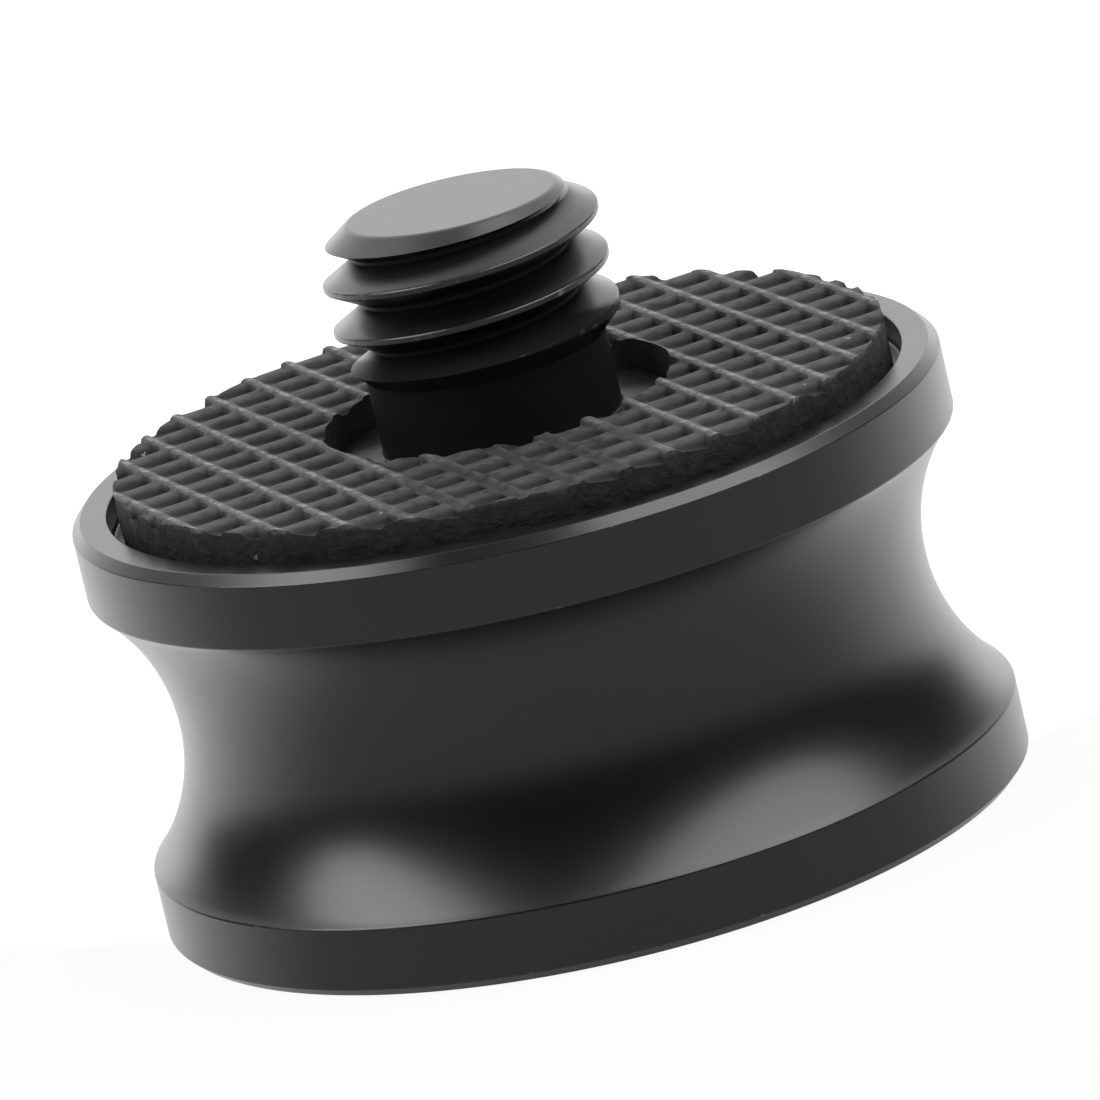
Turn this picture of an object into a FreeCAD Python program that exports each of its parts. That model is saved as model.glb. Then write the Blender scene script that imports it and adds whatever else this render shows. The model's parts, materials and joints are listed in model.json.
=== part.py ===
import FreeCAD, Part
import math
import os

# Tripod thread adapter: a turned spool with a threaded stud on top, a tapped socket underneath
# and a ring of waffle rubber glued into a groove round the foot of the stud.
# Lengths are in millimetres. The axis of the part is Z and the base lies on Z = 0.

# Spool
FLANGE_R = 14.8
BOTTOM_FLANGE_H = 2.4
COVE_H = 9.75
TOP_FLANGE_H = 2.5
WAIST_R = 12.8
SHOULDER_W = 0.18
SHOULDER_H = 0.16
TOP_CHAMFER = 0.33
BOTTOM_CHAMFER = 0.3

# Stud, 3/8 in - 16 UNC outside diameter
STUD_R = 9.525 / 2
STUD_H = 7.85
THREAD_LENGTH = 4.55
NECK_R = 4.08
TIP_CHAMFER_W = 1.18
TIP_CHAMFER_H = 0.88

# Socket, tapping size of a 1/4 in - 20 UNC thread
SOCKET_R = 2.55
SOCKET_DEPTH = 9.0
SOCKET_MOUTH_CHAMFER = 0.75
DRILL_POINT_ANGLE = 118.0

# Rubber pad, its pocket and the boss that stands in its hole
PAD_R = 13.2
PAD_T = 2.0
PAD_SIDE_GAP = 0.35
POCKET_DEPTH = 0.95
BOSS_R = 5.76
PAD_HOLE_GAP = 0.15

# Waffle grid moulded into the pad: two families of ridges with sunk cells between them
RAIL_PITCH = 1.68
RAIL_ANGLE = -70.4
RAIL_OFFSET = -0.95
RUNG_PITCH = 1.745
RUNG_ANGLE = 21.5
RUNG_OFFSET = 0.15
RAIL_W = 0.26
RUNG_W = 0.7
CELL_DEPTH = 0.38
CELL_DRAFT = 10.0

# Levels along the axis
COVE_BOTTOM_Z = BOTTOM_FLANGE_H
COVE_TOP_Z = COVE_BOTTOM_Z + COVE_H
TOP_Z = COVE_TOP_Z + TOP_FLANGE_H
POCKET_Z = TOP_Z - POCKET_DEPTH
TIP_Z = TOP_Z + STUD_H
THREAD_BOTTOM_Z = TIP_Z - THREAD_LENGTH
RELIEF_Z = THREAD_BOTTOM_Z - (STUD_R - NECK_R)
PAD_TOP_Z = POCKET_Z + PAD_T

# Radii that follow from the pad and the boss
POCKET_R = PAD_R + PAD_SIDE_GAP
PAD_HOLE_R = BOSS_R + PAD_HOLE_GAP


def at(radius, height):
    """Point of the turning profile, in the XZ plane."""
    return FreeCAD.Vector(radius, 0, height)


def run(points):
    """Straight edges from point to point."""
    return [Part.makeLine(a, b) for a, b in zip(points, points[1:])]


def turned_body():
    """Spool, stud and socket, turned from one bar."""
    drill_point_h = SOCKET_R / math.tan(math.radians(DRILL_POINT_ANGLE / 2))
    socket_and_lower_flange = [
        at(0, SOCKET_DEPTH + drill_point_h),
        at(SOCKET_R, SOCKET_DEPTH),
        at(SOCKET_R, SOCKET_MOUTH_CHAMFER),
        at(SOCKET_R + SOCKET_MOUTH_CHAMFER, 0),
        at(FLANGE_R - BOTTOM_CHAMFER, 0),
        at(FLANGE_R, BOTTOM_CHAMFER),
        at(FLANGE_R, COVE_BOTTOM_Z),
        at(FLANGE_R - SHOULDER_W, COVE_BOTTOM_Z + SHOULDER_H),
    ]
    upper_flange_and_stud = [
        at(FLANGE_R - SHOULDER_W, COVE_TOP_Z - SHOULDER_H),
        at(FLANGE_R, COVE_TOP_Z),
        at(FLANGE_R, TOP_Z - TOP_CHAMFER),
        at(FLANGE_R - TOP_CHAMFER, TOP_Z),
        at(POCKET_R, TOP_Z),
        at(POCKET_R, POCKET_Z),
        at(BOSS_R, POCKET_Z),
        at(BOSS_R, TOP_Z),
        at(NECK_R, TOP_Z),
        at(NECK_R, RELIEF_Z),
        at(STUD_R, THREAD_BOTTOM_Z),
        at(STUD_R, TIP_Z - TIP_CHAMFER_H),
        at(STUD_R - TIP_CHAMFER_W, TIP_Z),
        at(0, TIP_Z),
    ]
    waist = at(WAIST_R, (COVE_BOTTOM_Z + COVE_TOP_Z) / 2)
    cove = Part.Arc(socket_and_lower_flange[-1], waist, upper_flange_and_stud[0]).toShape()
    core = Part.makeLine(upper_flange_and_stud[-1], socket_and_lower_flange[0])
    edges = run(socket_and_lower_flange) + [cove] + run(upper_flange_and_stud) + [core]
    section = Part.Face(Part.Wire(edges))
    return section.revolve(FreeCAD.Vector(0, 0, 0), FreeCAD.Vector(0, 0, 1), 360)


def direction(angle):
    """Unit vector in the pad's plane."""
    return FreeCAD.Vector(math.cos(math.radians(angle)), math.sin(math.radians(angle)), 0)


RAIL = direction(RAIL_ANGLE)
RUNG = direction(RUNG_ANGLE)
SKEW = RAIL.cross(RUNG).z


def grid_point(rail_offset, rung_offset, height):
    """Where a line beside the rails crosses a line beside the rungs."""
    along_rung = rail_offset / SKEW
    along_rail = -rung_offset / SKEW
    return RUNG * along_rung + RAIL * along_rail + FreeCAD.Vector(0, 0, height)


def cell_outline(column, row, height):
    """Four corners of one cell at a height, drawn in by the draft of its walls."""
    lean = (PAD_TOP_Z - height) * math.tan(math.radians(CELL_DRAFT))
    left = RAIL_OFFSET + column * RAIL_PITCH + RAIL_W / 2 + lean
    right = RAIL_OFFSET + (column + 1) * RAIL_PITCH - RAIL_W / 2 - lean
    near = RUNG_OFFSET + row * RUNG_PITCH + RUNG_W / 2 + lean
    far = RUNG_OFFSET + (row + 1) * RUNG_PITCH - RUNG_W / 2 - lean
    corners = [(left, near), (right, near), (right, far), (left, far)]
    return [grid_point(across, along, height) for across, along in corners]


def cell(column, row):
    """Sunk cell as a drafted block that stands a little out of the pad's top."""
    floor = cell_outline(column, row, PAD_TOP_Z - CELL_DEPTH)
    mouth = cell_outline(column, row, PAD_TOP_Z + RAIL_W / 2)
    faces = [Part.Face(Part.makePolygon(ring + ring[:1])) for ring in (floor, mouth)]
    for i in range(4):
        j = (i + 1) % 4
        wall = [floor[i], floor[j], mouth[j], mouth[i], floor[i]]
        faces.append(Part.Face(Part.makePolygon(wall)))
    return Part.Solid(Part.Shell(faces))


def reaches_pad(column, row):
    """True where some of a cell lies between the pad's hole and its rim."""
    corners = cell_outline(column, row, PAD_TOP_Z)
    radii = [math.hypot(p.x, p.y) for p in corners]
    return min(radii) < PAD_R and max(radii) > PAD_HOLE_R


def rubber_pad():
    """Die-cut ring of waffle sheet, seated on the pocket's floor."""
    seat = FreeCAD.Vector(0, 0, POCKET_Z)
    ring = Part.makeCylinder(PAD_R, PAD_T, seat).cut(Part.makeCylinder(PAD_HOLE_R, PAD_T, seat))
    columns = math.ceil((PAD_R + abs(RAIL_OFFSET)) / RAIL_PITCH)
    rows = math.ceil((PAD_R + abs(RUNG_OFFSET)) / RUNG_PITCH)
    cells = []
    for column in range(-columns, columns):
        for row in range(-rows, rows):
            if reaches_pad(column, row):
                cells.append(cell(column, row))
    return ring.cut(Part.makeCompound(cells))


os.makedirs("parts", exist_ok=True)
turned_body().exportStep("parts/adapter_body.step")
rubber_pad().exportStep("parts/rubber_pad.step")
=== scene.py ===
"""Looks of a tripod thread adapter.

A spool turned from black anodised aluminium carries a threaded stud on top and a tapped socket
underneath. A ring of waffle rubber lies in a groove round the foot of the stud. The part's classes
hold their sizes in millimetres, and the studio's in metres.
"""

import json
import logging
import math
from collections.abc import Iterable
from dataclasses import dataclass, field
from enum import Enum

import bpy
from mathutils import Matrix, Vector, noise

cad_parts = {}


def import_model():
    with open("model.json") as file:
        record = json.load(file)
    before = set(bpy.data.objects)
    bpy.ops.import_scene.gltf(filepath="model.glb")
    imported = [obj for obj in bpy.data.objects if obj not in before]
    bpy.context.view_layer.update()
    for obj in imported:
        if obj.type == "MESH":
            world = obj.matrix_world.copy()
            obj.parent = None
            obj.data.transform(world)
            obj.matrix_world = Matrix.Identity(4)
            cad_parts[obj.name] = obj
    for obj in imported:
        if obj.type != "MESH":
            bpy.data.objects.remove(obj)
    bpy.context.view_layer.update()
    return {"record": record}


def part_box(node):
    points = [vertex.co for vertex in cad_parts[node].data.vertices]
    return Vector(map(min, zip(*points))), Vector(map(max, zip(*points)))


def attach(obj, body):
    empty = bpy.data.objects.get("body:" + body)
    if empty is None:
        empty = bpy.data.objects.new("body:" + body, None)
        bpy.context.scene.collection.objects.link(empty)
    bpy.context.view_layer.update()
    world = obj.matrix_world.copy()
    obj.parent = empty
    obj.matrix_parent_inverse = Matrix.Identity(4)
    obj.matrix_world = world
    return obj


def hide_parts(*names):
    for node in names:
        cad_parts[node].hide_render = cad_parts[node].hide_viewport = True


LOG = logging.getLogger("adapter")
MM = 0.001
PER_MM = 1000.0
ROOT_BODY = "root"
TORN_DROP = "torn_drop"
PAD_HOLE_RADIUS = 5.91
THREAD_FLAT = 1 / 8
NUMBER_RESULTS = ("LENGTH", "DISTANCE", "DOT_PRODUCT")

Point = tuple[float, float]
Range = tuple[float, float]
Place = tuple[float, float, float]
Colour = tuple[float, float, float, float]
Socket = bpy.types.NodeSocket
Outputs = bpy.types.bpy_prop_collection


class Shading(Enum):
    """Angle in degrees above which an edge between two faces is drawn sharp."""

    TURNED = 22.0
    MOULDED = 48.0


class ThreadSide(Enum):
    """Side of a wall that a thread is cut into, as the turn of the groove's section."""

    OUTSIDE = -0.5 * math.pi
    INSIDE = 0.5 * math.pi


class Wiring:
    """Adds nodes to one tree and joins them."""

    def __init__(self, tree: bpy.types.NodeTree) -> None:
        """Starts on an empty tree."""
        self.tree = tree
        tree.nodes.clear()

    def feed(self, socket: Socket, value: object) -> None:
        """Gives an input its value.

        Args:
            socket: the input.
            value: an output to link, a list of outputs to link, or a constant.
        """
        for one in value if isinstance(value, list) else [value]:
            if isinstance(one, Socket):
                self.tree.links.new(one, socket)
            else:
                socket.default_value = one

    def add(self, kind: str, feeds: dict | None = None, **settings: object) -> bpy.types.Node:
        """Adds a node.

        Args:
            kind: Blender's name for the type of node.
            feeds: what each input gets, by the input's name or place.
            settings: properties of the node.

        Returns:
            The new node.
        """
        node = self.tree.nodes.new(kind)
        for name, value in settings.items():
            setattr(node, name, value)
        for place, value in (feeds or {}).items():
            self.feed(node.inputs[place], value)
        return node

    def group(self, tree: bpy.types.NodeTree, feeds: dict) -> Outputs:
        """Places a shader group and returns its outputs."""
        return self.add("ShaderNodeGroup", feeds, node_tree=tree).outputs

    def math(self, operation: str, *terms: object) -> Socket:
        """Adds an operation on numbers, given as outputs or constants."""
        return self.add("ShaderNodeMath", dict(enumerate(terms)), operation=operation).outputs[0]

    def product(self, first: object, *factors: object) -> Socket:
        """Multiplies numbers in turn.

        Args:
            first: an output or a constant.
            factors: one or more outputs or constants.

        Returns:
            The product's output.
        """
        for factor in factors:
            first = self.math("MULTIPLY", first, factor)
        return first

    def between(self, share: object, low: float, high: float) -> Socket:
        """Turns a share from 0 to 1 into a number from low to high."""
        return self.math("MULTIPLY_ADD", share, high - low, low)

    def around(self, share: object, middle: float, spread: float) -> Socket:
        """Turns a share from 0 to 1 into a number that spreads evenly about a middle."""
        return self.math("MULTIPLY_ADD", share, spread, middle - 0.5 * spread)

    def vector_math(self, operation: str, *terms: object, scale: object = None) -> Socket:
        """Adds an operation on vectors.

        Args:
            operation: Blender's name for it.
            terms: outputs or constants.
            scale: the factor, where the operation is SCALE.

        Returns:
            The result's output, a number for a length, a distance or a dot product.
        """
        feeds: dict = dict(enumerate(terms))
        if scale is not None:
            feeds["Scale"] = scale
        node = self.add("ShaderNodeVectorMath", feeds, operation=operation)
        return node.outputs["Value" if operation in NUMBER_RESULTS else "Vector"]

    def axes(self, vector: Socket) -> Outputs:
        """Splits a vector into its outputs X, Y and Z."""
        return self.add("ShaderNodeSeparateXYZ", {0: vector}).outputs

    def join(self, **parts: Socket) -> Socket:
        """Makes a vector of the X, Y and Z that are given, with 0 for the others."""
        return self.add("ShaderNodeCombineXYZ", parts).outputs[0]

    def clouds(self, point: Socket, scale: object, detail: float = 2.0, roughness: float = 0.5) -> Socket:
        """Adds a cloudy pattern.

        Args:
            point: place on the surface.
            scale: clouds in a unit of length.
            detail: number of finer layers.
            roughness: strength of the finer layers.

        Returns:
            The pattern's output, mostly from 0.2 to 0.8.
        """
        feeds = {"Vector": point, "Scale": scale, "Detail": detail, "Roughness": roughness}
        return self.add("ShaderNodeTexNoise", feeds).outputs[0]

    def ramp(self, value: Socket, low: object, high: object) -> Socket:
        """Turns a range of a value into a smooth step.

        Args:
            value: the output to read.
            low: the value that gives 0.
            high: the value that gives 1, which may be the lesser one.

        Returns:
            The step's output.
        """
        feeds = {"Value": value, "From Min": low, "From Max": high}
        return self.add("ShaderNodeMapRange", feeds, interpolation_type="SMOOTHSTEP").outputs[0]

    def blend(self, share: object, first: object, second: object) -> Socket:
        """Mixes two colours.

        Args:
            share: how much of the second colour shows.
            first: colour at share 0.
            second: colour at share 1.

        Returns:
            The mixed colour's output.
        """
        node = self.add("ShaderNodeMix", data_type="RGBA")
        values = {"Factor_Float": share, "A_Color": first, "B_Color": second}
        for socket in node.inputs:
            if socket.identifier in values:
                self.feed(socket, values[socket.identifier])
        return next(out for out in node.outputs if out.identifier == "Result_Color")


def new_tree(name: str, kind: str, takes: dict[str, str], gives: dict[str, str]) -> tuple[Wiring, Outputs]:
    """Makes a node group with named sockets.

    Args:
        name: the group's name.
        kind: ShaderNodeTree or GeometryNodeTree.
        takes: type of each input, by name.
        gives: type of each output, by name.

    Returns:
        The group's wiring, and the outputs that carry its inputs.
    """
    tree = bpy.data.node_groups.new(name, kind)
    for side, sockets in (("INPUT", takes), ("OUTPUT", gives)):
        for label, socket_type in sockets.items():
            tree.interface.new_socket(label, in_out=side, socket_type="NodeSocket" + socket_type)
    wiring = Wiring(tree)
    return wiring, wiring.add("NodeGroupInput").outputs


def end_in_mesh(wiring: Wiring, shape: Socket, material: Socket) -> bpy.types.NodeTree:
    """Ends a geometry tree in one real mesh with its finish.

    Args:
        wiring: the tree's wiring.
        shape: output of the finished shape.
        material: output of the finish.

    Returns:
        The tree.
    """
    real = wiring.add("GeometryNodeRealizeInstances", {"Geometry": shape}).outputs[0]
    dressed = wiring.add("GeometryNodeSetMaterial", {"Geometry": real, "Material": material})
    wiring.add("NodeGroupOutput", {0: dressed.outputs[0]})
    return wiring.tree


def grow(piece: bpy.types.Object, tree: bpy.types.NodeTree, sizes: dict[str, object]) -> None:
    """Runs a geometry tree on an object and keeps the result as its plain mesh.

    Args:
        piece: the object that the tree starts from.
        tree: the geometry tree.
        sizes: value of each named input.
    """
    modifier = piece.modifiers.new(tree.name, "NODES")
    modifier.node_group = tree
    for item in tree.interface.items_tree:
        if item.in_out == "INPUT" and item.name in sizes:
            modifier[item.identifier] = sizes[item.name]
    graph = bpy.context.evaluated_depsgraph_get()
    shape = bpy.data.meshes.new_from_object(piece.evaluated_get(graph))
    piece.modifiers.remove(modifier)
    piece.data = shape


def new_piece(name: str, points: list, faces: list) -> bpy.types.Object:
    """Makes a mesh object at the origin.

    Args:
        name: the object's name.
        points: corners in millimetres.
        faces: places of each face's corners in the list of points.

    Returns:
        The object, linked to the scene.
    """
    mesh = bpy.data.meshes.new(name)
    mesh.from_pydata([Vector(point) * MM for point in points], [], faces)
    piece = bpy.data.objects.new(name, mesh)
    bpy.context.scene.collection.objects.link(piece)
    return piece


def shade(piece: bpy.types.Object, shading: Shading) -> None:
    """Draws a piece's faces smooth and its folds sharp."""
    piece.data.shade_smooth()
    piece.data.set_sharp_from_angle(angle=math.radians(shading.value))


def polar(radius: float, angle: float, height: float) -> Place:
    """Finds the point at a radius, an angle in radians and a height."""
    return radius * math.cos(angle), radius * math.sin(angle), height


def fine_grain_group() -> bpy.types.NodeTree:
    """Builds the group for a fine surface grain with a coarser mottle.

    Returns:
        The shader group.
    """
    takes = {"Point": "Vector", "Grain Scale": "Float", "Mottle Scale": "Float"}
    wiring, given = new_tree("fine_grain", "ShaderNodeTree", takes, {"Grain": "Float", "Mottle": "Float"})
    grain = wiring.clouds(given["Point"], given["Grain Scale"], detail=3.0)
    mottle = wiring.clouds(given["Point"], given["Mottle Scale"])
    wiring.add("NodeGroupOutput", {"Grain": grain, "Mottle": mottle})
    return wiring.tree


def speck_group(fray_scale: float = 3.0, fray_reach: float = 0.4) -> bpy.types.NodeTree:
    """Builds the group for sparse small specks of dust.

    Args:
        fray_scale: waves round a speck's edge, as a multiple of the specks' scale.
        fray_reach: how far the waves push the edge, as a share of the specks' spacing.

    Returns:
        The shader group.
    """
    takes = {"Point": "Vector", "Scale": "Float", "Size": "Float", "Share": "Float"}
    wiring, given = new_tree("specks", "ShaderNodeTree", takes, {"Mask": "Float"})
    point, scale = given["Point"], given["Scale"]
    waves = wiring.add("ShaderNodeTexNoise", {"Vector": point, "Scale": wiring.product(scale, fray_scale)})
    reach = wiring.math("DIVIDE", fray_reach, scale)
    push = wiring.vector_math("SCALE", waves.outputs["Color"], scale=reach)
    frayed = wiring.vector_math("ADD", point, push)
    cells = wiring.add("ShaderNodeTexVoronoi", {"Vector": frayed, "Scale": scale}).outputs
    lots = wiring.add("ShaderNodeSeparateColor", {"Color": cells["Color"]}).outputs
    near = wiring.math("LESS_THAN", cells["Distance"], wiring.product(given["Size"], lots[1]))
    drawn = wiring.math("LESS_THAN", lots[0], given["Share"])
    wiring.add("NodeGroupOutput", {"Mask": wiring.product(near, drawn)})
    return wiring.tree


def ring_group() -> bpy.types.NodeTree:
    """Builds the group that marks a band round one turned edge.

    Returns:
        The shader group.
    """
    takes = {name: "Float" for name in ("Radius", "Height", "Edge Radius", "Edge Height", "Width")}
    wiring, given = new_tree("turned_edge", "ShaderNodeTree", takes, {"Mask": "Float"})
    gaps = [wiring.math("SUBTRACT", given[name], given["Edge " + name]) for name in ("Radius", "Height")]
    squares = [wiring.product(gap, gap) for gap in gaps]
    share = wiring.math("DIVIDE", wiring.math("SQRT", wiring.math("ADD", *squares)), given["Width"])
    mask = wiring.add("ShaderNodeClamp", {"Value": wiring.math("SUBTRACT", 1.0, share)}).outputs[0]
    wiring.add("NodeGroupOutput", {"Mask": mask})
    return wiring.tree


@dataclass
class Effects:
    """Shader groups that the finishes share."""

    grain: bpy.types.NodeTree = field(default_factory=fine_grain_group)
    specks: bpy.types.NodeTree = field(default_factory=speck_group)
    edge: bpy.types.NodeTree = field(default_factory=ring_group)


@dataclass(frozen=True)
class Surface:
    """Material in the making, with its place, radius and height on the part in millimetres."""

    material: bpy.types.Material
    wiring: Wiring
    point: Socket
    radius: Socket
    height: Socket

    @classmethod
    def begin(cls, name: str) -> "Surface":
        """Opens a material and measures the surface from the part's axis.

        Args:
            name: the material's name.

        Returns:
            The surface.
        """
        material = bpy.data.materials.new(name)
        material.use_nodes = True
        wiring = Wiring(material.node_tree)
        place = wiring.add("ShaderNodeTexCoord").outputs["Object"]
        point = wiring.vector_math("SCALE", place, scale=PER_MM)
        axes = wiring.axes(point)
        radius = wiring.vector_math("LENGTH", wiring.join(X=axes["X"], Y=axes["Y"]))
        return cls(material, wiring, point, radius, axes["Z"])

    def grain(self, effects: Effects, finish: "BlackAnodising | BlackRubber") -> Outputs:
        """Places the grain group at a finish's scales and returns its outputs."""
        scales = {"Grain Scale": finish.grain_scale, "Mottle Scale": finish.mottle_scale}
        return self.wiring.group(effects.grain, {"Point": self.point} | scales)

    def end(self, relief: Socket, feeds: dict) -> bpy.types.Material:
        """Closes the material with its shader.

        Args:
            relief: output of the surface's fine relief, in metres.
            feeds: what the shader's inputs get.

        Returns:
            The material.
        """
        bump = self.wiring.add("ShaderNodeBump", {"Height": relief, "Distance": 1.0, "Strength": 1.0})
        shader = self.wiring.add("ShaderNodeBsdfPrincipled", feeds | {"Normal": bump.outputs[0]})
        self.wiring.add("ShaderNodeOutputMaterial", {"Surface": shader.outputs[0]})
        return self.material


@dataclass(frozen=True)
class BlackAnodising:
    """Satin black anodising over turned aluminium, worn through in places along its edges, with painted
    shade in the thread's roots, round the neck and on the boss.
    """

    name: str = "black_anodised_aluminium"
    dye: Colour = (0.0022, 0.0022, 0.0023, 1.0)
    bare_metal: Colour = (0.25, 0.25, 0.26, 1.0)
    bare_share: float = 0.8
    refraction: float = 1.68
    shine: float = 0.5
    seal: float = 0.5
    root_shade: Colour = (0.018, 0.018, 0.018, 1.0)
    root_shade_shine: float = 0.03
    root_shade_fade: float = 0.65
    root_shade_level: Range = (-0.1, 0.2)
    root_shade_tilt: float = 0.2
    unshaded_tip: float = 0.5
    spool_margin: float = 0.1
    patch_dulling: float = 0.72
    patch_middle: Place = (-0.9, -14.6, 14.5)
    patch_reach: Range = (3.9, 1.5)
    patch_edge: float = 0.05
    patch_rag: float = 1.4
    patch_scale: float = 0.9
    boss_shade_dulling: float = 0.97
    boss_shade_base: float = 0.86
    boss_shade_fade: Range = (0.4, 1.6)
    boss_shade_depth: float = 0.2
    roughness: float = 0.30
    roughness_spread: float = 0.05
    grain_scale: float = 16.0
    mottle_scale: float = 0.9
    lathe_scale: float = 7.0
    grain_height: float = 0.0011
    lathe_height: float = 0.0009
    crest_width: float = 0.084
    crest_scale: float = 2.4
    crest_height: float = 0.03
    edge_width: float = 0.07
    nick_scale: float = 1.7
    nick_range: Range = (0.63, 0.78)

    def material(self, effects: Effects, body: "TurnedBody") -> bpy.types.Material:
        """Builds the material.

        Args:
            effects: the shared shader groups.
            body: the body, for the places of its edges and its thread.

        Returns:
            The material.
        """
        surface = Surface.begin(self.name)
        wiring, point = surface.wiring, surface.point
        grain = surface.grain(effects, self)
        crest = self._crest(surface, body)
        wear = self._wear(surface, effects, body, crest)
        # Painted shade: shine and coat fade out in the thread's roots, round the neck and on the boss, and
        # on a dulled patch of the chamfer.
        shine_left = self._shine_left(surface, body)
        lathe_point = wiring.join(X=surface.radius, Y=surface.height)
        lathe = wiring.clouds(lathe_point, self.lathe_scale, detail=4.0)
        chips = wiring.clouds(point, self.crest_scale, detail=3.0)
        fine = wiring.product(grain["Grain"], self.grain_height * MM)
        turned = wiring.product(lathe, self.lathe_height * MM)
        chipped = wiring.product(chips, crest, self.crest_height * MM)
        shining = wiring.math("MAXIMUM", shine_left, self.root_shade_shine)
        shader = {
            "Base Color": wiring.blend(wear, wiring.blend(shine_left, self.root_shade, self.dye), self.bare_metal),
            "Roughness": wiring.around(grain["Mottle"], self.roughness, self.roughness_spread),
            "Metallic": wiring.product(wear, self.bare_share),
            "IOR": self.refraction,
            "Coat Weight": wiring.product(shine_left, self.seal),
            "Specular IOR Level": wiring.product(shining, self.shine),
            "Coat Roughness": self.roughness,
        }
        return surface.end(wiring.math("ADD", wiring.math("ADD", fine, turned), chipped), shader)

    def _crest(self, surface: Surface, body: "TurnedBody") -> Socket:
        """Marks the crests of the stud's thread.

        Args:
            surface: the material in the making.
            body: the body, for the stud's sizes.

        Returns:
            The crests' output, from 0 to 1.
        """
        wiring = surface.wiring
        rim = wiring.ramp(surface.radius, body.stud_radius - self.crest_width, body.stud_radius)
        stud = wiring.math("LESS_THAN", surface.radius, body.stud_radius + self.edge_width)
        above = wiring.math("GREATER_THAN", surface.height, body.thread_bottom - self.edge_width)
        return wiring.product(rim, stud, above)

    def _shine_left(self, surface: Surface, body: "TurnedBody") -> Socket:
        """Finds how much shine is left where painted shade darkens the thread's roots, the neck and the
        boss, and where a patch on the chamfer is dulled.

        Args:
            surface: the material in the making.
            body: the body, for the places of its thread, boss and chamfer.

        Returns:
            The share of the finish's shine that shows, from 0 to 1.
        """
        wiring, radius, height = surface.wiring, surface.radius, surface.height
        depth = wiring.axes(surface.point)["Y"]
        root = body.stud_radius - body.stud_thread_depth
        # Painted shade in the thread's roots and below the thread, reaching higher at the front.
        flank = wiring.ramp(radius, root, root + self.root_shade_fade)
        tilted = wiring.math("MULTIPLY_ADD", depth, self.root_shade_tilt, height)
        above = wiring.ramp(tilted, *(body.thread_bottom + level for level in self.root_shade_level))
        tip = wiring.math("GREATER_THAN", height, body.tip_height - self.unshaded_tip)
        stud = wiring.math("MAXIMUM", wiring.product(flank, above), tip)
        spool = wiring.math("LESS_THAN", height, body.top + self.spool_margin)
        # Painted shade on the boss round the stud's foot, a little stronger behind the stud.
        boss = wiring.math("LESS_THAN", radius, body.pad_hole_radius)
        rearward = wiring.between(wiring.ramp(depth, *self.boss_shade_fade), self.boss_shade_base, 1.0)
        raised = wiring.math("GREATER_THAN", height, body.top - self.boss_shade_depth)
        boss_shade = wiring.product(boss, rearward, raised, spool)
        boss_unshaded = wiring.between(boss_shade, 1.0, 1.0 - self.boss_shade_dulling)
        unpatched = wiring.between(self._dull_patch(surface, body), 1.0, 1.0 - self.patch_dulling)
        return wiring.product(wiring.math("MAXIMUM", stud, spool), unpatched, boss_unshaded)

    def _dull_patch(self, surface: Surface, body: "TurnedBody") -> Socket:
        """Marks a ragged patch on the front of the upper chamfer, where the shine is dulled.

        Args:
            surface: the material in the making.
            body: the body, for the place of its chamfer.

        Returns:
            The patch's output, from 0 to 1.
        """
        wiring, point = surface.wiring, surface.point
        away = wiring.vector_math("DISTANCE", point, self.patch_middle)
        waves = wiring.clouds(point, self.patch_scale, detail=5.0, roughness=0.65)
        centred = wiring.math("SUBTRACT", waves, 0.5)
        ragged = wiring.math("MULTIPLY_ADD", centred, self.patch_rag, away)
        foot = body.top - body.top_chamfer
        raised = wiring.ramp(surface.height, foot - self.patch_edge, foot + self.patch_edge)
        outside = wiring.math("GREATER_THAN", surface.radius, body.pocket_radius)
        return wiring.product(wiring.ramp(ragged, *self.patch_reach), raised, outside)

    def _wear(self, surface: Surface, effects: Effects, body: "TurnedBody", crest: Socket) -> Socket:
        """Marks where edges have lost their colour.

        Args:
            surface: the material in the making.
            effects: the shared shader groups.
            body: the body, for its edges.
            crest: mark of the thread's crests.

        Returns:
            The wear's output, from 0 to 1.
        """
        wiring, mask = surface.wiring, crest
        spot = {"Radius": surface.radius, "Height": surface.height, "Width": self.edge_width}
        for radius, height in body.worn_edges():
            ring = wiring.group(effects.edge, spot | {"Edge Radius": radius, "Edge Height": height})
            mask = wiring.math("MAXIMUM", mask, ring["Mask"])
        nicks = wiring.clouds(surface.point, self.nick_scale, detail=5.0)
        return wiring.product(mask, wiring.ramp(nicks, *self.nick_range))


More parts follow.
